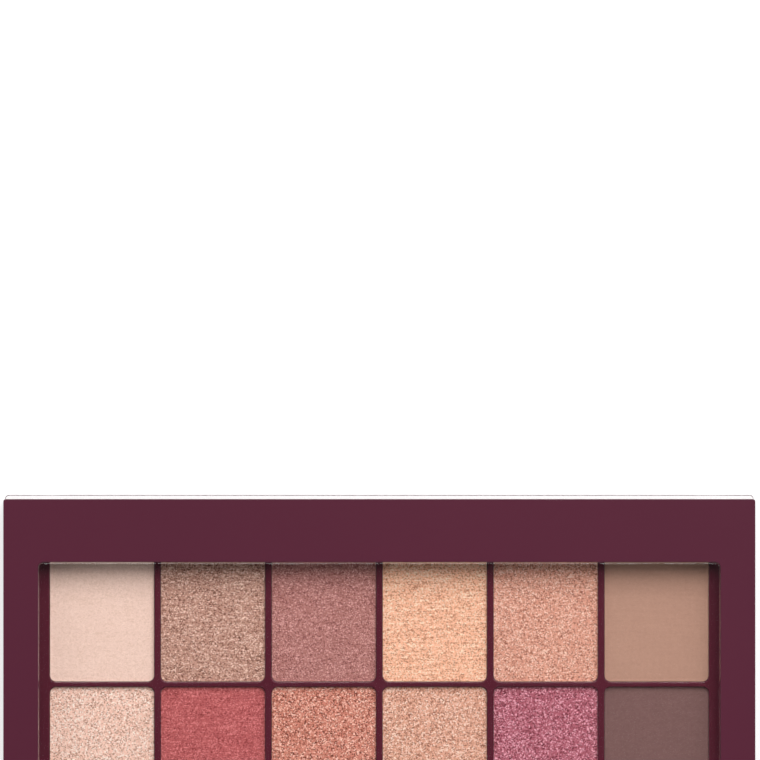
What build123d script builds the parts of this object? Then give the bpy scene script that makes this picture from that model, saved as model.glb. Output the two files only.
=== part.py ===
"""Eyeshadow palette: a flat hinged case with twelve pressed powders under a clear window.

Millimetres. X runs across the width, -Y is the front, +Y is the hinge side and Z is up.
The origin is at the bottom centre of the closed palette, hinge lip included.
"""

import os

from build123d import *

os.makedirs("parts", exist_ok=True)

# Case
case_width = 152.0
case_depth = 80.0
corner_radius = 0.45
base_height = 8.0
lid_height = 3.8
parting_gap = 0.2
case_wall = 1.4
floor_thickness = 1.2
bottom_round = 0.4
rim_round = 0.1

# Lid frame and its clear window
side_frame = 7.05
rear_frame = 12.7
front_frame = 17.8
window_corner = 1.15
window_round = 0.15
frame_plate = 1.4
window_thickness = 1.0
pane_gap = 0.08
pane_drop = 0.2
pane_round = 0.35
stake_radius = 0.9
stake_gap = 0.05
stake_pitch = 60.0

# Hinge: a clear bar with a rear lip turns on two steel pins held by arms of the base
lip_proud = 0.85
lip_corner = 0.8
lip_end_inset = 0.3
axis_inset = 1.0
axis_drop = 1.0
bar_half_height = 0.8
bar_edge_round = 0.2
hinge_web = 1.05
groove_radius = 2.3
groove_wall = 1.0
knuckle_radius = 1.0
knuckle_length = 6.0
knuckle_inset = 6.0
knuckle_arm_drop = 0.35
knuckle_gap = 0.15
pin_radius = 0.5
pin_length = 12.0
pin_end_inset = 1.0
pin_press_gap = 0.005
pin_running_gap = 0.05

# Pan tray
fit_gap = 0.15
tray_drop = 0.2
tray_plate = 0.8
tray_wall = 0.8
side_band = 2.33
pan_columns = 6
pan_rows = 2
column_web = 1.35
row_web = 1.09
hidden_margin = 1.2
opening_corner = 1.3
opening_round = 0.3
peg_radius = 0.75
peg_inset = 5.0
boss_wall = 0.8

# Pans and pressed powders
pan_lip = 0.15
pan_gap = 0.1
pan_sheet = 0.25
pan_height = 2.2
rim_gap = 0.05
powder_gap = 0.02
powder_recess = 0.6
opening_gap = 0.04
glue_radius = 4.0
glue_thickness = 0.15

# Applicator and its trough
trough_length = 70.0
trough_width = 8.0
trough_floor = 0.8
trough_depth = 5.3
scoop_length = 20.0
scoop_width = 11.0
scoop_depth = 4.0
scoop_corner = 3.0
handle_length = 52.0
handle_radius = 2.0
neck_radius = 1.3
stub_radius = 0.9
stub_length = 5.0
tip_length = 11.0
tip_width = 6.4
tip_thickness = 4.0
tip_round = 1.6
tip_gap = 0.01
rest_gap = 0.05

# Front catch and thumb notch
tongue_width = 14.0
tongue_thickness = 0.95
tongue_reach = 3.0
bead_radius = 0.3
bead_proud = 0.1
notch_width = 24.0
notch_height = 2.4
notch_depth = 0.6
notch_corner = 1.0

# Label on the underside
label_length = 96.0
label_width = 38.0
label_corner = 2.0
label_thickness = 0.1
label_recess = 0.15

# Levels and places that follow from the sizes above
rear_y = (case_depth - lip_proud) / 2
front_y = rear_y - case_depth
case_y = (rear_y + front_y) / 2
lid_bottom = base_height + parting_gap
lid_top = lid_bottom + lid_height
plate_bottom = lid_top - frame_plate
window_bottom = plate_bottom - window_thickness
inner_width = case_width - 2 * case_wall
inner_front = front_y + case_wall
axis_y = rear_y - axis_inset
axis_z = base_height - axis_drop

window_width = case_width - 2 * side_frame
window_depth = case_depth - rear_frame - front_frame
window_y = rear_y - rear_frame - window_depth / 2

tray_top = base_height - tray_drop
tray_width = inner_width - 2 * fit_gap
tray_front = inner_front + fit_gap
tray_rear = axis_y - groove_radius - groove_wall - fit_gap
tray_depth = tray_rear - tray_front
tray_y = (tray_rear + tray_front) / 2
plate_under = tray_top - tray_plate

opening_width = (window_width - 2 * side_band - (pan_columns - 1) * column_web) / pan_columns
opening_depth = (window_depth + 2 * hidden_margin - (pan_rows - 1) * row_web) / pan_rows
column_pitch = opening_width + column_web
row_pitch = opening_depth + row_web

pan_width = opening_width + 2 * pan_lip
pan_depth = opening_depth + 2 * pan_lip
pan_corner = opening_corner + pan_lip
pan_top = plate_under - rim_gap
pan_bottom = pan_top - pan_height
well_width = pan_width + 2 * pan_gap
well_depth = pan_depth + 2 * pan_gap
well_bottom = pan_bottom - glue_thickness
powder_top = tray_top - powder_recess
grid_width = (pan_columns - 1) * column_pitch + well_width + 2 * tray_wall
grid_depth = (pan_rows - 1) * row_pitch + well_depth + 2 * tray_wall
grid_front = window_y - grid_depth / 2

trough_y = (tray_front + tray_wall + grid_front) / 2
trough_bottom = tray_top - trough_depth
handle_z = trough_bottom + tip_thickness / 2 + rest_gap
tongue_front = inner_front + fit_gap
tongue_bottom = base_height - tongue_reach
bead_z = tongue_bottom + 2 * bead_radius
bead_y = tongue_front - bead_proud + bead_radius

knuckle_x = case_width / 2 - knuckle_inset - knuckle_length / 2
pin_x = case_width / 2 - pin_end_inset - pin_length / 2
peg_x = tray_width / 2 - peg_inset
peg_rear_y = tray_rear - peg_inset
peg_front_y = tray_front + peg_inset
peg_spots = [(x, y) for x in (-peg_x, peg_x) for y in (peg_front_y, peg_rear_y)]
stake_spots = [
    (x * stake_pitch, y)
    for x in (-1, 0, 1)
    for y in (rear_y - rear_frame / 2, front_y + front_frame / 2)
]
pan_spots = [
    ((column - (pan_columns - 1) / 2) * column_pitch, window_y - (row - (pan_rows - 1) / 2) * row_pitch)
    for row in range(pan_rows)
    for column in range(pan_columns)
]

# Base shell: floor, four walls, the hinge groove along the rear and its two arms
with BuildPart() as base_shell:
    with BuildSketch():
        with Locations((0, case_y)):
            RectangleRounded(case_width, case_depth, corner_radius)
    extrude(amount=base_height)
    fillet(base_shell.faces().sort_by(Axis.Z)[0].edges(), bottom_round)
    with BuildSketch(Plane.XY.offset(floor_thickness)):
        with Locations((0, case_y)):
            Rectangle(inner_width, case_depth - 2 * case_wall)
    extrude(amount=base_height, mode=Mode.SUBTRACT)

    # Wall around the hinge groove, kept inside the rear face and the top
    with BuildSketch(Plane.YZ.offset(-inner_width / 2)):
        with Locations((axis_y, axis_z)):
            Circle(groove_radius + groove_wall)
        with Locations((rear_y, base_height)):
            Rectangle(case_depth, base_height, align=(Align.MAX, Align.MAX), mode=Mode.INTERSECT)
    extrude(amount=inner_width)

    # The groove is open upwards and to the rear, over the whole width
    with BuildSketch(Plane.YZ):
        with Locations((axis_y, axis_z)):
            Circle(groove_radius)
        with Locations((axis_y - groove_radius, axis_z)):
            Rectangle(2 * groove_radius, base_height, align=(Align.MIN, Align.MIN))
    extrude(amount=case_width / 2, both=True, mode=Mode.SUBTRACT)

    # Arms that reach over the groove and hold the pins
    for side in (-1, 1):
        with BuildSketch(Plane.YZ.offset(side * knuckle_x)):
            with Locations((axis_y, axis_z - knuckle_arm_drop)):
                Rectangle(
                    groove_radius + groove_wall / 2,
                    axis_drop + knuckle_arm_drop,
                    align=(Align.MAX, Align.MIN),
                )
            with Locations((axis_y, axis_z)):
                Circle(knuckle_radius)
                Circle(pin_radius + pin_press_gap, mode=Mode.SUBTRACT)
        extrude(amount=knuckle_length / 2, both=True)

    # Bosses that take the tray's pegs
    with BuildSketch(Plane.XY.offset(floor_thickness)):
        with Locations(peg_spots):
            Circle(peg_radius + stake_gap + boss_wall)
            Circle(peg_radius + stake_gap, mode=Mode.SUBTRACT)
    extrude(amount=(plate_under - floor_thickness) / 2)

    # Thumb notch and the dimple for the catch bead in the front wall
    with BuildSketch(Plane.XZ.offset(-front_y)):
        with Locations((0, base_height)):
            RectangleRounded(notch_width, 2 * notch_height, notch_corner)
    extrude(amount=-notch_depth, mode=Mode.SUBTRACT)
    with BuildSketch(Plane.YZ):
        with Locations((bead_y, bead_z)):
            Circle(bead_radius + fit_gap)
    extrude(amount=tongue_width / 2, both=True, mode=Mode.SUBTRACT)

    # Shallow seat for the label
    with BuildSketch():
        with Locations((0, case_y)):
            RectangleRounded(label_length, label_width, label_corner)
    extrude(amount=label_recess, mode=Mode.SUBTRACT)
base_shell.part.label = "base_shell"
export_step(base_shell.part, "parts/base_shell.step")

# Label: a blank sticker in its seat
with BuildPart() as base_label:
    with BuildSketch(Plane.XY.offset(label_recess - label_thickness)):
        with Locations((0, case_y)):
            RectangleRounded(
                label_length - 2 * fit_gap, label_width - 2 * fit_gap, label_corner - fit_gap
            )
    extrude(amount=label_thickness)
base_label.part.label = "base_label"
export_step(base_label.part, "parts/base_label.step")

# Pan tray: a plate with twelve lipped wells and a trough, on a skirt and four pegs
with BuildPart() as pan_tray:
    with BuildSketch(Plane.XY.offset(plate_under)):
        with Locations((0, tray_y)):
            Rectangle(tray_width, tray_depth)
    extrude(amount=tray_plate)
    with BuildSketch(Plane.XY.offset(floor_thickness)):
        with Locations((0, tray_y)):
            Rectangle(tray_width, tray_depth)
            Rectangle(tray_width - 2 * tray_wall, tray_depth - 2 * tray_wall, mode=Mode.SUBTRACT)
    extrude(amount=plate_under - floor_thickness)
    with BuildSketch(Plane.XY.offset(well_bottom - tray_wall)):
        with Locations((0, window_y)):
            Rectangle(grid_width, grid_depth)
    extrude(amount=plate_under - well_bottom + tray_wall)
    with BuildSketch(Plane.XY.offset(trough_bottom - trough_floor)):
        with Locations((0, trough_y)):
            SlotOverall(trough_length + 2 * tray_wall, trough_width + 2 * tray_wall)
    extrude(amount=plate_under - trough_bottom + trough_floor)
    with BuildSketch(Plane.XY.offset(tray_top - scoop_depth - trough_floor)):
        with Locations((0, trough_y)):
            RectangleRounded(
                scoop_length + 2 * tray_wall, scoop_width + 2 * tray_wall, scoop_corner + tray_wall
            )
    extrude(amount=plate_under - tray_top + scoop_depth + trough_floor)
    with BuildSketch(Plane.XY.offset(floor_thickness)):
        with Locations(peg_spots):
            Circle(peg_radius)
    extrude(amount=plate_under - floor_thickness)

    # Wells, closed below, and the smaller openings above that leave a lip over each pan
    with BuildSketch(Plane.XY.offset(well_bottom)):
        with Locations(pan_spots):
            RectangleRounded(well_width, well_depth, pan_corner + pan_gap)
    extrude(amount=plate_under - well_bottom, mode=Mode.SUBTRACT)
    with BuildSketch(Plane.XY.offset(plate_under)):
        with Locations(pan_spots):
            RectangleRounded(opening_width, opening_depth, opening_corner)
    extrude(amount=tray_plate, mode=Mode.SUBTRACT)
    with BuildSketch(Plane.XY.offset(trough_bottom)):
        with Locations((0, trough_y)):
            SlotOverall(trough_length, trough_width)
    extrude(amount=trough_depth, mode=Mode.SUBTRACT)
    with BuildSketch(Plane.XY.offset(tray_top - scoop_depth)):
        with Locations((0, trough_y)):
            RectangleRounded(scoop_length, scoop_width, scoop_corner)
    extrude(amount=scoop_depth, mode=Mode.SUBTRACT)
    fillet(pan_tray.faces().sort_by(Axis.Z)[-1].inner_wires().edges(), opening_round)

    # Clearance for the lid's catch tongue
    with BuildSketch(Plane.XY.offset(tongue_bottom - 2 * fit_gap)):
        with Locations((0, tray_front)):
            Rectangle(tongue_width + 4 * fit_gap, 2 * (tongue_thickness + 2 * fit_gap))
    extrude(amount=base_height, mode=Mode.SUBTRACT)
pan_tray.part.label = "pan_tray"
export_step(pan_tray.part, "parts/pan_tray.step")

# Pans: shallow pressed-metal trays, one in each well
for number, (pan_x, pan_y) in enumerate(pan_spots, start=1):
    with BuildPart() as pan:
        with BuildSketch(Plane((pan_x, pan_y, pan_bottom))):
            RectangleRounded(pan_width, pan_depth, pan_corner)
        extrude(amount=pan_height)
        with BuildSketch(Plane((pan_x, pan_y, pan_bottom + pan_sheet))):
            RectangleRounded(
                pan_width - 2 * pan_sheet, pan_depth - 2 * pan_sheet, pan_corner - pan_sheet
            )
        extrude(amount=pan_height, mode=Mode.SUBTRACT)
    pan.part.label = f"pan_{number:02d}"
    export_step(pan.part, f"parts/pan_{number:02d}.step")

# Powders: each fills its pan and stands over the rim, up into the tray's opening
for number, (pan_x, pan_y) in enumerate(pan_spots, start=1):
    with BuildPart() as powder:
        with BuildSketch(Plane((pan_x, pan_y, pan_bottom + pan_sheet))):
            RectangleRounded(
                pan_width - 2 * pan_sheet - 2 * powder_gap,
                pan_depth - 2 * pan_sheet - 2 * powder_gap,
                pan_corner - pan_sheet - powder_gap,
            )
        extrude(amount=pan_height - pan_sheet)
        with BuildSketch(Plane((pan_x, pan_y, pan_top))):
            RectangleRounded(
                opening_width - 2 * opening_gap,
                opening_depth - 2 * opening_gap,
                opening_corner - opening_gap,
            )
        extrude(amount=powder_top - pan_top)
    powder.part.label = f"powder_{number:02d}"
    export_step(powder.part, f"parts/powder_{number:02d}.step")

# Glue: one round dot under each pan
with BuildPart() as pan_glue:
    with BuildSketch(Plane.XY.offset(well_bottom)):
        with Locations(pan_spots):
            Circle(glue_radius)
    extrude(amount=glue_thickness)
pan_glue.part.label = "pan_glue"
export_step(pan_glue.part, "parts/pan_glue.step")

# Applicator handle: a turned profile, thick in the middle, with a stub for each tip
with BuildPart() as applicator_handle:
    with BuildSketch(Plane((0, trough_y, handle_z), x_dir=(1, 0, 0), z_dir=(0, -1, 0))):
        with BuildLine():
            stub_end = handle_length / 2
            shoulder = stub_end - stub_length
            Polyline(
                (0, handle_radius),
                (0, 0),
                (stub_end, 0),
                (stub_end, stub_radius),
                (shoulder, stub_radius),
                (shoulder, neck_radius),
            )
            Spline((shoulder, neck_radius), (0, handle_radius), tangents=[(-1, 0), (-1, 0)])
        make_face()
        mirror(about=Plane.YZ)
    revolve(axis=Axis((0, trough_y, handle_z), (1, 0, 0)))
applicator_handle.part.label = "applicator_handle"
export_step(applicator_handle.part, "parts/applicator_handle.step")

# Sponge tips: flat oval foam pushed over the stubs
for side, name in ((-1, "applicator_tip_left"), (1, "applicator_tip_right")):
    tip_x = side * (handle_length / 2 - stub_length + tip_gap + tip_length / 2)
    with BuildPart() as tip:
        with BuildSketch(Plane((tip_x, trough_y, handle_z - tip_thickness / 2))):
            Ellipse(tip_length / 2, tip_width / 2)
        extrude(amount=tip_thickness)
        fillet(tip.edges(), tip_round)
        with BuildSketch(Plane.YZ):
            with Locations((trough_y, handle_z)):
                Circle(stub_radius + tip_gap)
        extrude(amount=side * (handle_length / 2 + tip_gap), mode=Mode.SUBTRACT)
    tip.part.label = name
    export_step(tip.part, f"parts/{name}.step")

# Lid frame: the coloured top with its window, walls, stakes and catch tongue
with BuildPart() as lid_frame:
    with BuildSketch(Plane.XY.offset(lid_bottom)):
        with Locations((0, case_y)):
            RectangleRounded(case_width, case_depth, corner_radius)
    extrude(amount=lid_height)
    fillet(lid_frame.faces().sort_by(Axis.Z)[-1].edges(), rim_round)
    with BuildSketch(Plane.XY.offset(lid_bottom)):
        with Locations((0, case_y)):
            Rectangle(inner_width, case_depth - 2 * case_wall)
    extrude(amount=plate_bottom - lid_bottom, mode=Mode.SUBTRACT)
    with BuildSketch(Plane.XY.offset(plate_bottom)):
        with Locations((0, window_y)):
            RectangleRounded(window_width, window_depth, window_corner)
    extrude(amount=frame_plate, mode=Mode.SUBTRACT)
    fillet(lid_frame.faces().sort_by(Axis.Z)[-1].inner_wires().edges(), window_round)
    with BuildSketch(Plane.XY.offset(window_bottom)):
        with Locations(stake_spots):
            Circle(stake_radius)
    extrude(amount=window_thickness)

    # The tongue hangs from a block on the front wall and carries the catch bead
    with BuildSketch(Plane.YZ):
        with Locations((tongue_front, tongue_bottom)):
            Rectangle(tongue_thickness, lid_bottom - tongue_bottom, align=(Align.MIN, Align.MIN))
        with Locations((inner_front, lid_bottom)):
            Rectangle(
                fit_gap + tongue_thickness,
                window_bottom - fit_gap - lid_bottom,
                align=(Align.MIN, Align.MIN),
            )
        with Locations((bead_y, bead_z)):
            Circle(bead_radius)
    extrude(amount=tongue_width / 2, both=True)
lid_frame.part.label = "lid_frame"
export_step(lid_frame.part, "parts/lid_frame.step")

# Lid window: a clear sheet under the frame, with the raised pane, hinge bar and rear lip on it
panel_front = inner_front + fit_gap
panel_rear = rear_y - case_wall - fit_gap
web_front = panel_rear - hinge_web
bar_bottom = axis_z - bar_half_height
bar_top = axis_z + bar_half_height
with BuildPart() as lid_window:
    bar_width = case_width - 2 * lip_end_inset
    bar_depth = rear_y + lip_proud - web_front
    with BuildSketch(Plane.XY.offset(bar_bottom)):
        with Locations((0, web_front + bar_depth / 2)):
            Rectangle(bar_width, bar_depth)
    extrude(amount=2 * bar_half_height)
    fillet(lid_window.edges().filter_by(Axis.Z).group_by(Axis.Y)[-1], lip_corner)
    fillet(lid_window.faces().filter_by(Axis.Z).edges().group_by(Axis.Y)[-1], bar_edge_round)
    with BuildSketch(Plane.XY.offset(bar_top)):
        with Locations((0, web_front + hinge_web / 2)):
            Rectangle(tray_width, hinge_web)
    extrude(amount=window_bottom - bar_top)
    with BuildSketch(Plane.XY.offset(window_bottom)):
        with Locations((0, (panel_front + panel_rear) / 2)):
            Rectangle(tray_width, panel_rear - panel_front)
        with Locations(stake_spots):
            Circle(stake_radius + stake_gap, mode=Mode.SUBTRACT)
    extrude(amount=window_thickness)

    # The pane stands up into the frame's opening, with a rounded rim
    with BuildSketch(Plane.XY.offset(plate_bottom)):
        with Locations((0, window_y)):
            RectangleRounded(
                window_width - 2 * pane_gap, window_depth - 2 * pane_gap, window_corner - pane_gap
            )
    extrude(amount=frame_plate - pane_drop)
    fillet(lid_window.faces().sort_by(Axis.Z)[-1].edges(), pane_round)

    # Room for the arms, leaving the lip to run on behind them, and the bore for the pins
    with BuildSketch(Plane.XY.offset(bar_bottom)):
        with Locations((-knuckle_x, web_front), (knuckle_x, web_front)):
            Rectangle(
                knuckle_length + 2 * knuckle_gap,
                2 * (axis_y + knuckle_radius + knuckle_gap - web_front),
            )
    extrude(amount=lid_bottom - bar_bottom, mode=Mode.SUBTRACT)
    with BuildSketch(Plane.YZ.offset(pin_x - pin_length / 2 - pin_running_gap)):
        with Locations((axis_y, axis_z)):
            Circle(pin_radius + pin_running_gap)
    extrude(amount=case_width, mode=Mode.SUBTRACT)
    with BuildSketch(Plane.YZ.offset(pin_length / 2 + pin_running_gap - pin_x)):
        with Locations((axis_y, axis_z)):
            Circle(pin_radius + pin_running_gap)
    extrude(amount=-case_width, mode=Mode.SUBTRACT)
lid_window.part.label = "lid_window"
export_step(lid_window.part, "parts/lid_window.step")

# Hinge pins: one steel pin through each arm and into the bar on both sides of it
with BuildPart() as hinge_pins:
    for side in (-1, 1):
        with BuildSketch(Plane.YZ.offset(side * pin_x)):
            with Locations((axis_y, axis_z)):
                Circle(pin_radius)
        extrude(amount=pin_length / 2, both=True)
hinge_pins.part.label = "hinge_pins"
export_step(hinge_pins.part, "parts/hinge_pins.step")
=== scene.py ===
"""Looks for the eyeshadow palette: moulded case, clear lid, metal pans and pressed powders."""

import math

import bpy
import numpy as np
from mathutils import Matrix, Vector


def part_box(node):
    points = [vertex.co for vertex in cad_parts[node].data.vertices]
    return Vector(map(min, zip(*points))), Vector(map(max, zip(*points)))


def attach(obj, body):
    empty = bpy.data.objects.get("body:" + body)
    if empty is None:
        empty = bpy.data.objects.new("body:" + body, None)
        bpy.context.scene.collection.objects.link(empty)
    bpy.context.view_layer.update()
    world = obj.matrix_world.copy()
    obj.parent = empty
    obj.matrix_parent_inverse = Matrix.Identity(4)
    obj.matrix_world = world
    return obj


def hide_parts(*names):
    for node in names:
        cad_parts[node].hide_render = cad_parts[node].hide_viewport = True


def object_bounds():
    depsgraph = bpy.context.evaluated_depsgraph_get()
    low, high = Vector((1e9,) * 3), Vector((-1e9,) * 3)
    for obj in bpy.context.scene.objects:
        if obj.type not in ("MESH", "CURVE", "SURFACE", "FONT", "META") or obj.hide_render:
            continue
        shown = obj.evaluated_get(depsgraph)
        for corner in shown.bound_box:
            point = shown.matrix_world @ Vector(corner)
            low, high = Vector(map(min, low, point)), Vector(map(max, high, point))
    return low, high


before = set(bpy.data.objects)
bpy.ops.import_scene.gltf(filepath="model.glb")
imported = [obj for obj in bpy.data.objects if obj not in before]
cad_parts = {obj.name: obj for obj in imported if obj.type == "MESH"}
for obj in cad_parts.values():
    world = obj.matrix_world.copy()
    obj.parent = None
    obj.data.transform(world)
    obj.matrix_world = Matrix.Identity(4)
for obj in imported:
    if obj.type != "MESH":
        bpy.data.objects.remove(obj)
cad_low, cad_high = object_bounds()
MM = 0.001


# ---- Case and lid frame ----
# The outer shell and the lid's frame are one burgundy ABS, injection moulded in a finely
# sparked tool. The satin skin spreads highlights wide, so the top reads as one flat colour.

def linear(hex_colour):
    """sRGB hex to the linear colour that shaders use."""
    values = [int(hex_colour[i:i + 2], 16) / 255 for i in (1, 3, 5)]
    return [v / 12.92 if v <= 0.04045 else ((v + 0.055) / 1.055) ** 2.4 for v in values] + [1.0]


def add(tree, kind, settings=None, inputs=None):
    """Adds a node, sets its properties, and sets or links its inputs."""
    node = tree.nodes.new(kind)
    for name, value in (settings or {}).items():
        setattr(node, name, value)
    for name, value in (inputs or {}).items():
        if isinstance(value, bpy.types.NodeSocket):
            tree.links.new(value, node.inputs[name])
        else:
            node.inputs[name].default_value = value
    return node


def new_material(name):
    """An empty node material and its tree."""
    material = bpy.data.materials.new(name)
    material.use_nodes = True
    material.node_tree.nodes.clear()
    return material, material.node_tree


def dress(material, *nodes):
    """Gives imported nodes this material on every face."""
    for node in nodes:
        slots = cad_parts[node].material_slots
        for place in slots:
            place.material = material
        if not slots:
            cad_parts[node].data.materials.append(material)


def moulded_plastic(name, colour, roughness, grit_mm, grit_depth_mm, tone=0.06):
    """Injection-moulded plastic: a sparked-tool grit in the skin and a slow drift of tone."""
    material, tree = new_material(name)
    place = add(tree, "ShaderNodeTexCoord").outputs["Object"]
    drift_mm = 40
    drift = add(
        tree, "ShaderNodeTexNoise", inputs={"Vector": place, "Scale": 1 / (drift_mm * MM), "Detail": 2.0}
    )
    dark = [v * (1 - tone) for v in linear(colour)[:3]] + [1.0]
    light = [v * (1 + tone) for v in linear(colour)[:3]] + [1.0]
    blend = add(
        tree, "ShaderNodeMix", {"data_type": "RGBA"},
        {"Factor": drift.outputs["Fac"], 6: dark, 7: light},
    )
    grit = add(
        tree, "ShaderNodeTexNoise",
        inputs={"Vector": place, "Scale": 1 / (grit_mm * MM), "Detail": 3.0, "Roughness": 0.6},
    )
    bump = add(
        tree, "ShaderNodeBump",
        inputs={"Strength": 0.2, "Distance": grit_depth_mm * MM, "Height": grit.outputs["Fac"]},
    )
    sheen = add(
        tree, "ShaderNodeMapRange",
        inputs={"Value": grit.outputs["Fac"], "To Min": roughness - 0.05, "To Max": roughness + 0.05},
    )
    skin = add(
        tree, "ShaderNodeBsdfPrincipled",
        inputs={
            "Base Color": blend.outputs[2], "Roughness": sheen.outputs["Result"],
            "IOR": 1.53, "Specular IOR Level": 0.35, "Normal": bump.outputs["Normal"],
        },
    )
    add(tree, "ShaderNodeOutputMaterial", inputs={"Surface": skin.outputs["BSDF"]})
    return material


# The grit is drawn at 0.35 mm, coarser than the real 0.05 mm, so that it shows at all.
case_abs = moulded_plastic("abs_burgundy_sparked", "#4E1B2E", 0.3, grit_mm=0.35, grit_depth_mm=0.004)
dress(case_abs, "base_shell", "lid_frame")


# ---- Pan tray ----
# The insert that holds the pans is moulded in the same colour but in a polished tool,
# so its rounded bars between the pans catch a soft light line along their crowns.

tray_polystyrene = moulded_plastic(
    "polystyrene_burgundy_polished", "#541A2B", 0.22, grit_mm=1.6, grit_depth_mm=0.01, tone=0.1
)
dress(tray_polystyrene, "pan_tray")


# ---- Pans and the glue under them ----
# Each pan is drawn from thin tin-plated sheet: bright, with fine lines from rolling along X.
# A dot of hot-melt glue, milky and soft-edged, holds it in its well.

roll_line_mm = 0.12
roll_length_mm = 33
tinplate, tree = new_material("tinplate_rolled_and_drawn")
place = add(tree, "ShaderNodeTexCoord").outputs["Object"]
rolling = (1 / (roll_length_mm * MM), 1 / (roll_line_mm * MM), 1 / (roll_line_mm * MM))
stretch = add(tree, "ShaderNodeMapping", inputs={"Vector": place, "Scale": rolling})
lines = add(
    tree, "ShaderNodeTexNoise", inputs={"Vector": stretch.outputs["Vector"], "Scale": 1.0, "Detail": 2.0}
)
spread = add(
    tree, "ShaderNodeMapRange",
    inputs={"Value": lines.outputs["Fac"], "To Min": 0.18, "To Max": 0.38},
)
sheet = add(
    tree, "ShaderNodeBsdfPrincipled",
    inputs={"Base Color": linear("#C9C8C4"), "Metallic": 1.0, "Roughness": spread.outputs["Result"]},
)
add(tree, "ShaderNodeOutputMaterial", inputs={"Surface": sheet.outputs["BSDF"]})
pan_nodes = [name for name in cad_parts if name.startswith("pan_") and name[4:].isdigit()]
dress(tinplate, *pan_nodes)

hot_melt, tree = new_material("eva_hot_melt_set")
place = add(tree, "ShaderNodeTexCoord").outputs["Object"]
glue_ripple_mm = 2
ripple = add(
    tree, "ShaderNodeTexNoise", inputs={"Vector": place, "Scale": 1 / (glue_ripple_mm * MM), "Detail": 2.0}
)
bump = add(
    tree, "ShaderNodeBump", inputs={"Strength": 0.5, "Distance": 0.1 * MM, "Height": ripple.outputs["Fac"]}
)
glue = add(
    tree, "ShaderNodeBsdfPrincipled",
    inputs={
        "Base Color": linear("#E9E2CB"), "Roughness": 0.3, "IOR": 1.48,
        "Subsurface Weight": 0.3, "Subsurface Scale": 0.5 * MM, "Normal": bump.outputs["Normal"],
    },
)
add(tree, "ShaderNodeOutputMaterial", inputs={"Surface": glue.outputs["BSDF"]})
dress(hot_melt, "pan_glue")


# ---- Powder cakes ----
# Pigment, talc and mica pressed into each pan under a woven cloth. Matte shades press smooth,
# shimmers show the cloth's fine streaks, and glitters stand up as coarse, flaky grains.

STEP_MM = 0.25
CORNER_MM = 1.26
BORDER_MM = 0.05
DISH_WIDTH_MM = 0.6
DISH_RISE_MM = 0.12
LOW_RELIEF_MM = 0.08
WAVE_MM = 0.02
STREAK_REACH = 9
WAVE_REACH = 14
SKIRT_MM = 0.2
RIM_INSET_MM = 0.3


def smooth_noise(rng, shape, reach_x, reach_y):
    """Random heights averaged over reach cells each way, then scaled to a spread of 1."""
    heights = rng.standard_normal(shape)
    for axis, reach in ((0, reach_x), (1, reach_y)):
        total = sum(np.roll(heights, shift, axis) for shift in range(-reach, reach + 1))
        heights = total / (2 * reach + 1)
    return heights / heights.std()


def rounded(u, v, half_x, half_y, radius):
    """Moves grid points of a rectangle so that its four corners become round."""
    over_x = np.abs(u) - (half_x - radius)
    over_y = np.abs(v) - (half_y - radius)
    corner = (over_x > 0) & (over_y > 0)
    far = np.maximum(over_x, over_y)
    length = np.hypot(over_x, over_y)
    scale = np.where(corner, far / np.where(corner, length, 1), 1)
    x = np.where(corner, np.sign(u) * (half_x - radius + over_x * scale), u)
    y = np.where(corner, np.sign(v) * (half_y - radius + over_y * scale), v)
    return x, y


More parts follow.
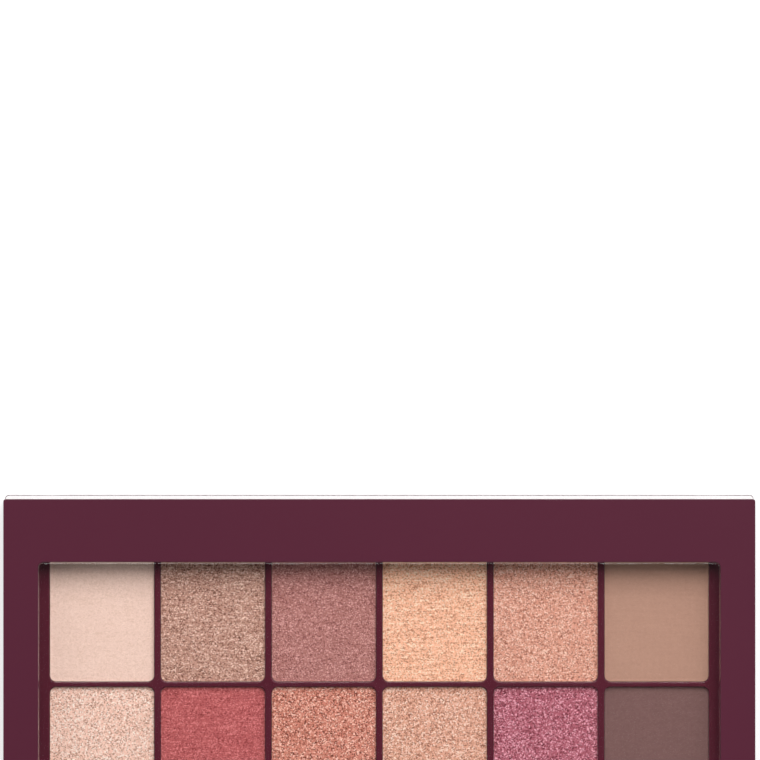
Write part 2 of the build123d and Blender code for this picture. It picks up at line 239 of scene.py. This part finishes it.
def powder_cake(number, grain_height_mm, streak_height_mm):
    """A pressed cake: a worked top, dished up a little to its edges, over the block in the pan."""
    node = f"powder_{number:02d}"
    low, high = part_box(node)
    centre = (low + high) / 2
    half_x, half_y = (high.x - low.x) / 2, (high.y - low.y) / 2
    columns = round(2 * half_x / (STEP_MM * MM)) + 1
    rows = round(2 * half_y / (STEP_MM * MM)) + 1
    border = BORDER_MM * MM
    across = np.r_[-half_x, np.linspace(border - half_x, half_x - border, columns - 2), half_x]
    along = np.r_[-half_y, np.linspace(border - half_y, half_y - border, rows - 2), half_y]
    u, v = np.meshgrid(across, along, indexing="ij")
    x, y = rounded(u, v, half_x, half_y, CORNER_MM * MM)

    rng = np.random.default_rng(number)
    grains = smooth_noise(rng, u.shape, 0, 0) * grain_height_mm
    streaks = smooth_noise(rng, u.shape, STREAK_REACH, 0) * streak_height_mm
    waves = smooth_noise(rng, u.shape, WAVE_REACH, WAVE_REACH) * WAVE_MM
    inside = np.clip(np.minimum(half_x - np.abs(u), half_y - np.abs(v)) / (DISH_WIDTH_MM * MM), 0, 1)
    dish = DISH_RISE_MM * (1 - inside) ** 2
    relief = np.clip(grains + streaks + waves, -LOW_RELIEF_MM, LOW_RELIEF_MM) * inside
    z = high.z - centre.z + (relief + dish - DISH_RISE_MM - BORDER_MM) * MM

    points = [tuple(p) for p in np.stack([x, y, z], -1).reshape(-1, 3)]
    faces = [
        (i * rows + j, (i + 1) * rows + j, (i + 1) * rows + j + 1, i * rows + j + 1)
        for i in range(columns - 1)
        for j in range(rows - 1)
    ]
    ring = [i * rows for i in range(columns)]
    ring += [(columns - 1) * rows + j for j in range(1, rows)]
    ring += [i * rows + rows - 1 for i in range(columns - 2, -1, -1)]
    ring += [j for j in range(rows - 2, 0, -1)]

    # Down to the pan's rim, in over the rim, and down to the pan's floor.
    rim_z = high.z - SKIRT_MM * MM - centre.z
    floor_z = low.z - centre.z
    inset = 1 - RIM_INSET_MM * MM / half_x
    for scale, level in ((1.0, rim_z), (inset, rim_z), (inset, floor_z)):
        start = len(points)
        points += [(points[i][0] * scale, points[i][1] * scale, level) for i in ring]
        below = list(range(start, len(points)))
        for a in range(len(ring)):
            b = (a + 1) % len(ring)
            faces.append((ring[b], ring[a], below[a], below[b]))
        ring = below
    faces.append(tuple(reversed(ring)))

    mesh = bpy.data.meshes.new(f"pressed_cake_{number:02d}")
    mesh.from_pydata([(p[0] + centre.x, p[1] + centre.y, p[2] + centre.z) for p in points], [], faces)
    mesh.polygons.foreach_set("use_smooth", [True] * len(faces))
    mesh.update()
    cake = bpy.data.objects.new(f"pressed_cake_{number:02d}", mesh)
    bpy.context.scene.collection.objects.link(cake)
    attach(cake, "case")
    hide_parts(node)
    return cake


STREAK_LENGTH_MM = 3.5
STREAK_WIDTH_MM = 0.3
FLAKE_SHARE = 0.45
DULL = 0.85


def pressed_powder(name, dark, mid, bright_and_glint, grain_mm, relief_mm, streak=0.0, flake=0.0):
    """Pressed powder: grains of three tones, partly painted shade and painted glint, cloth streaks along X,
    and mica flakes that glint.
    """
    material, tree = new_material(name)
    place = add(tree, "ShaderNodeTexCoord").outputs["Object"]
    grains = add(
        tree, "ShaderNodeTexVoronoi",
        inputs={"Vector": place, "Scale": 1 / (grain_mm * MM), "Randomness": 1.0},
    )
    pick = add(tree, "ShaderNodeSeparateColor", inputs={"Color": grains.outputs["Color"]})
    cloth = (1 / (STREAK_LENGTH_MM * MM), 1 / (STREAK_WIDTH_MM * MM), 1 / (STREAK_WIDTH_MM * MM))
    along = add(tree, "ShaderNodeMapping", inputs={"Vector": place, "Scale": cloth})
    streaks = add(
        tree, "ShaderNodeTexNoise", inputs={"Vector": along.outputs["Vector"], "Scale": 1.0, "Detail": 3.0}
    )
    value = add(
        tree, "ShaderNodeMix", {"data_type": "FLOAT"},
        {"Factor": streak, "A": pick.outputs["Red"], "B": streaks.outputs["Fac"]},
    )
    tones = add(tree, "ShaderNodeValToRGB", inputs={"Fac": value.outputs["Result"]})
    # Most grains share one tone; a few are dark specks and a few are bright flakes. These tones are partly
    # the powder's own colour and partly painted shade and painted glint: the same value raises the bump, so
    # low grains are painted darker and raised grains lighter. Streaks average the grains, so the ramp narrows
    # with them.
    ramp = tones.color_ramp
    narrow = 1 - 0.9 * streak
    ramp.elements[0].color = linear(dark)
    ramp.elements[0].position = 0.5 - 0.42 * narrow
    ramp.elements[1].color = linear(bright_and_glint)
    ramp.elements[1].position = 0.5 + 0.45 * narrow
    for plateau in (-0.12, 0.2):
        ramp.elements.new(0.5 + plateau * narrow).color = linear(mid)
    rise = add(
        tree, "ShaderNodeBump",
        inputs={"Strength": 0.6, "Distance": relief_mm * MM, "Height": value.outputs["Result"]},
    )
    glint = add(
        tree, "ShaderNodeMapRange",
        inputs={
            "Value": pick.outputs["Green"], "From Min": 1 - FLAKE_SHARE, "From Max": 1.0,
            "To Min": 0.0, "To Max": flake,
        },
    )
    sheen = add(
        tree, "ShaderNodeMapRange",
        inputs={"Value": pick.outputs["Green"], "To Min": DULL, "To Max": DULL - 0.5 * flake},
    )
    cake = add(
        tree, "ShaderNodeBsdfPrincipled",
        inputs={
            "Base Color": tones.outputs["Color"], "Metallic": glint.outputs["Result"],
            "Roughness": sheen.outputs["Result"], "IOR": 1.4, "Normal": rise.outputs["Normal"],
        },
    )
    add(tree, "ShaderNodeOutputMaterial", inputs={"Surface": cake.outputs["BSDF"]})
    return material


# Shade: dark, middle and bright grains, whose dark and bright are partly painted shade and painted glint,
# grain size in mm, then streaks and flakes.
SHADES = (
    ("cream_pink_matte", "#EACBB8", "#F4D6C6", "#FADECE", 0.24, 0.4, 0.0),
    ("taupe_shimmer", "#6E4435", "#C19482", "#F4D7C5", 0.2, 0.4, 0.38),
    ("mauve_shimmer", "#834D4A", "#B27972", "#DEAAA3", 0.2, 0.35, 0.33),
    ("gold_peach_shimmer", "#B7795A", "#F9C09E", "#FFEBD0", 0.2, 0.5, 0.3),
    ("rose_gold_shimmer", "#985C48", "#E0A28B", "#FBDBC8", 0.2, 0.3, 0.38),
    ("tan_matte", "#B48D7A", "#B9927E", "#BD9682", 0.24, 0.4, 0.0),
    ("champagne_glitter", "#B28874", "#F5CDB9", "#FFF4E9", 0.22, 0.1, 0.42),
    ("rose_red_satin", "#8C383A", "#BA5E5E", "#DE8485", 0.2, 0.45, 0.28),
    ("copper_glitter", "#6C2C1A", "#D38773", "#FBD4C1", 0.22, 0.2, 0.45),
    ("pinkish_beige_glitter", "#9A634C", "#E3AB91", "#FCE4D2", 0.22, 0.1, 0.43),
    ("plum_glitter", "#692230", "#B36272", "#EFB2C0", 0.22, 0.1, 0.4),
    ("dark_brown_matte", "#735552", "#795A57", "#7F605C", 0.24, 0.4, 0.0),
)
for number, (shade, dark, mid, bright_and_glint, grain_mm, streak, flake) in enumerate(SHADES, start=1):
    cake = powder_cake(number, grain_height_mm=0.004 + 0.03 * flake, streak_height_mm=0.012 * streak)
    relief_mm = 0.004 + 0.08 * flake
    cake.data.materials.append(
        pressed_powder(f"powder_{shade}_pressed", dark, mid, bright_and_glint, grain_mm, relief_mm, streak, flake)
    )


# ---- Clear window and hinge bar ----
# One moulding of clear SAN: the sheet under the frame, the hinge bar and the lip behind it.
# It is polished on both faces; lamps shine through it, so the powders below are lit.

flow_mm = 25
clear_san, tree = new_material("san_clear_polished")
place = add(tree, "ShaderNodeTexCoord").outputs["Object"]
flow = add(tree, "ShaderNodeTexNoise", inputs={"Vector": place, "Scale": 1 / (flow_mm * MM), "Detail": 1.0})
ripple = add(
    tree, "ShaderNodeBump", inputs={"Strength": 0.05, "Distance": 0.02 * MM, "Height": flow.outputs["Fac"]}
)
glassy = add(
    tree, "ShaderNodeBsdfPrincipled",
    inputs={
        "Base Color": linear("#FDFBFB"), "Roughness": 0.03, "IOR": 1.45,
        "Transmission Weight": 1.0, "Normal": ripple.outputs["Normal"],
    },
)
open_air = add(tree, "ShaderNodeBsdfTransparent", inputs={"Color": linear("#F7F5F5")})
path = add(tree, "ShaderNodeLightPath")
lit = add(
    tree, "ShaderNodeMath", {"operation": "MAXIMUM"},
    {0: path.outputs["Is Shadow Ray"], 1: path.outputs["Is Diffuse Ray"]},
)
pane = add(
    tree, "ShaderNodeMixShader",
    inputs={0: lit.outputs["Value"], 1: glassy.outputs["BSDF"], 2: open_air.outputs["BSDF"]},
)
add(tree, "ShaderNodeOutputMaterial", inputs={"Surface": pane.outputs["Shader"]})
dress(clear_san, "lid_window")


# ---- Hinge pins ----
# Short lengths of drawn steel wire, cut and tumbled: bright, with fine lines along the wire.

draw_line_mm = 0.08
draw_length_mm = 2
drawn_steel, tree = new_material("steel_wire_drawn")
place = add(tree, "ShaderNodeTexCoord").outputs["Object"]
drawing = (1 / (draw_length_mm * MM), 1 / (draw_line_mm * MM), 1 / (draw_line_mm * MM))
stretch = add(tree, "ShaderNodeMapping", inputs={"Vector": place, "Scale": drawing})
lines = add(
    tree, "ShaderNodeTexNoise", inputs={"Vector": stretch.outputs["Vector"], "Scale": 1.0, "Detail": 2.0}
)
spread = add(
    tree, "ShaderNodeMapRange",
    inputs={"Value": lines.outputs["Fac"], "To Min": 0.22, "To Max": 0.4},
)
wire = add(
    tree, "ShaderNodeBsdfPrincipled",
    inputs={"Base Color": linear("#B9B7B3"), "Metallic": 1.0, "Roughness": spread.outputs["Result"]},
)
add(tree, "ShaderNodeOutputMaterial", inputs={"Surface": wire.outputs["BSDF"]})
dress(drawn_steel, "hinge_pins")


# ---- Underside label ----
# A blank coated-paper sticker, pressed into its seat: off-white with a faint fibre mottle.

fibre_mm = 0.4
label_paper, tree = new_material("coated_paper_sticker")
place = add(tree, "ShaderNodeTexCoord").outputs["Object"]
fibre = add(tree, "ShaderNodeTexNoise", inputs={"Vector": place, "Scale": 1 / (fibre_mm * MM), "Detail": 4.0})
mottle = add(
    tree, "ShaderNodeMix", {"data_type": "RGBA"},
    {"Factor": fibre.outputs["Fac"], 6: linear("#DEDBD5"), 7: linear("#F1EFEA")},
)
nap = add(
    tree, "ShaderNodeBump", inputs={"Strength": 0.3, "Distance": 0.02 * MM, "Height": fibre.outputs["Fac"]}
)
paper = add(
    tree, "ShaderNodeBsdfPrincipled",
    inputs={
        "Base Color": mottle.outputs[2], "Roughness": 0.55, "IOR": 1.5, "Normal": nap.outputs["Normal"],
    },
)
add(tree, "ShaderNodeOutputMaterial", inputs={"Surface": paper.outputs["BSDF"]})
dress(label_paper, "base_label")


# ---- Applicator ----
# A black polystyrene stick, moulded glossy, with a flat oval of fine-celled foam on each end.

handle_black = moulded_plastic("polystyrene_black_glossy", "#17151A", 0.16, grit_mm=3.0, grit_depth_mm=0.006)
dress(handle_black, "applicator_handle")

cell_mm = 0.28
foam, tree = new_material("polyurethane_foam_fine_cell")
place = add(tree, "ShaderNodeTexCoord").outputs["Object"]
cells = add(tree, "ShaderNodeTexVoronoi", inputs={"Vector": place, "Scale": 1 / (cell_mm * MM)})
walls = add(
    tree, "ShaderNodeMapRange",
    inputs={"Value": cells.outputs["Distance"], "From Min": 0.1, "From Max": 0.6},
)
# Painted shade: the foam's colour is darker in the cell pits, which the bump sinks, and lighter on the cell
# walls.
tone = add(
    tree, "ShaderNodeMix", {"data_type": "RGBA"},
    {"Factor": walls.outputs["Result"], 6: linear("#B99C84"), 7: linear("#EBD5BE")},
)
pits = add(
    tree, "ShaderNodeBump", inputs={"Strength": 0.8, "Distance": 0.12 * MM, "Height": walls.outputs["Result"]}
)
sponge = add(
    tree, "ShaderNodeBsdfPrincipled",
    inputs={
        "Base Color": tone.outputs[2], "Roughness": 0.95, "Sheen Weight": 0.3,
        "Normal": pits.outputs["Normal"],
    },
)
add(tree, "ShaderNodeOutputMaterial", inputs={"Surface": sponge.outputs["BSDF"]})


def sponge_tip(node):
    """A padded oval of foam with blunt ends and a slightly lumpy skin."""
    low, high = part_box(node)
    centre, half = (low + high) / 2, (high - low) / 2
    around, along = 96, 64
    fullness = 0.62
    lump_share = 0.0012
    skin_share = 0.01
    rng = np.random.default_rng(5)
    lumps = smooth_noise(rng, (around, along), 2, 2) * lump_share
    points, faces = [], []
    for i in range(around):
        turn = 2 * math.pi * i / around
        for j in range(along + 1):
            lift = math.pi * (j / along - 0.5)
            shrink = 1 - abs(lumps[i, min(j, along - 1)]) - skin_share
            bulge = abs(math.cos(lift)) ** fullness
            x = bulge * math.cos(turn)
            y = bulge * math.sin(turn)
            z = math.sin(lift)
            points.append((
                centre.x + half.x * x * shrink,
                centre.y + half.y * y * shrink,
                centre.z + half.z * z * shrink,
            ))
    for i in range(around):
        ahead = (i + 1) % around
        for j in range(along):
            first, second = i * (along + 1) + j, ahead * (along + 1) + j
            faces.append((first, second, second + 1, first + 1))
    mesh = bpy.data.meshes.new(node.replace("applicator", "foam"))
    mesh.from_pydata(points, [], faces)
    mesh.polygons.foreach_set("use_smooth", [True] * len(faces))
    mesh.materials.append(foam)
    tip = bpy.data.objects.new(node.replace("applicator", "foam"), mesh)
    bpy.context.scene.collection.objects.link(tip)
    weld = tip.modifiers.new("close_poles", "WELD")
    weld.merge_threshold = 0.002 * MM
    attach(tip, "case")
    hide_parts(node)


sponge_tip("applicator_tip_left")
sponge_tip("applicator_tip_right")


# ---- Table, light and camera ----
# A glowing white table under one wide soft lamp behind and to the right, with pale walls all
# round. The camera looks straight down through a long lens, past the palette's hinge side.

table_top, tree = new_material("studio_board_white")
place = add(tree, "ShaderNodeTexCoord").outputs["Object"]
board_grain_mm = 3
grain = add(
    tree, "ShaderNodeTexNoise", inputs={"Vector": place, "Scale": 1 / (board_grain_mm * MM), "Detail": 3.0}
)
tone = add(
    tree, "ShaderNodeMix", {"data_type": "RGBA"},
    {"Factor": grain.outputs["Fac"], 6: linear("#ACACAC"), 7: linear("#B2B2B2")},
)
board = add(
    tree, "ShaderNodeBsdfPrincipled",
    inputs={
        "Base Color": tone.outputs[2], "Roughness": 0.7, "Specular IOR Level": 0.2,
        "Emission Color": (1, 1, 1, 1), "Emission Strength": 0.62,
    },
)
add(tree, "ShaderNodeOutputMaterial", inputs={"Surface": board.outputs["BSDF"]})
reach = 3.0
floor_mesh = bpy.data.meshes.new("studio_table")
floor_mesh.from_pydata(
    [(-reach, -reach, 0), (reach, -reach, 0), (reach, reach, 0), (-reach, reach, 0)], [], [(0, 1, 2, 3)]
)
floor_mesh.materials.append(table_top)
floor = bpy.data.objects.new("studio_table", floor_mesh)
floor.location.z = -0.02 * MM
bpy.context.scene.collection.objects.link(floor)

# The ceiling over the table is dark, so flat glossy faces don't mirror a white sky.
room = bpy.data.worlds.new("studio_room")
room.use_nodes = True
room.node_tree.nodes.clear()
direction = add(room.node_tree, "ShaderNodeTexCoord").outputs["Generated"]
height = add(room.node_tree, "ShaderNodeSeparateXYZ", inputs={"Vector": direction})
fill = add(
    room.node_tree, "ShaderNodeMapRange", {"interpolation_type": "SMOOTHSTEP"},
    {"Value": height.outputs["Z"], "From Min": 0.55, "From Max": 0.93, "To Min": 0.75, "To Max": 0.05},
)
walls = add(
    room.node_tree, "ShaderNodeBackground", inputs={"Color": (1, 1, 1, 1), "Strength": fill.outputs["Result"]}
)
add(room.node_tree, "ShaderNodeOutputWorld", inputs={"Surface": walls.outputs["Background"]})
bpy.context.scene.world = room


def soft_lamp(name, azimuth, elevation, distance, width, height, power):
    """A flat lamp, aimed at the palette. Azimuth 0 is behind the hinge, 90 is the right."""
    lamp = bpy.data.lights.new(name, "AREA")
    lamp.shape = "RECTANGLE"
    lamp.size = width
    lamp.size_y = height
    lamp.energy = power
    holder = bpy.data.objects.new(name, lamp)
    bpy.context.scene.collection.objects.link(holder)
    turn, lift = math.radians(azimuth), math.radians(elevation)
    holder.location = (
        distance * math.cos(lift) * math.sin(turn),
        distance * math.cos(lift) * math.cos(turn),
        distance * math.sin(lift),
    )
    holder.rotation_euler = (math.pi / 2 - lift, 0, math.pi - turn)
    return holder


soft_lamp("rear_softbox", azimuth=17, elevation=51, distance=1.5, width=1.5, height=1.2, power=28.5)

view_width = 153.6 * MM
camera_height = 5.0
camera_back = 24.1 * MM
camera_side = 0.14 * MM
rear_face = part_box("lid_frame")[1].y
lens = bpy.data.cameras.new("long_lens")
lens.lens = lens.sensor_width * camera_height / view_width
lens.clip_start = 0.05
camera = bpy.data.objects.new("long_lens", lens)
camera.location = (camera_side, rear_face + camera_back, cad_high.z + camera_height)
bpy.context.scene.collection.objects.link(camera)
bpy.context.scene.camera = camera
bpy.context.scene.view_settings.view_transform = "Standard"
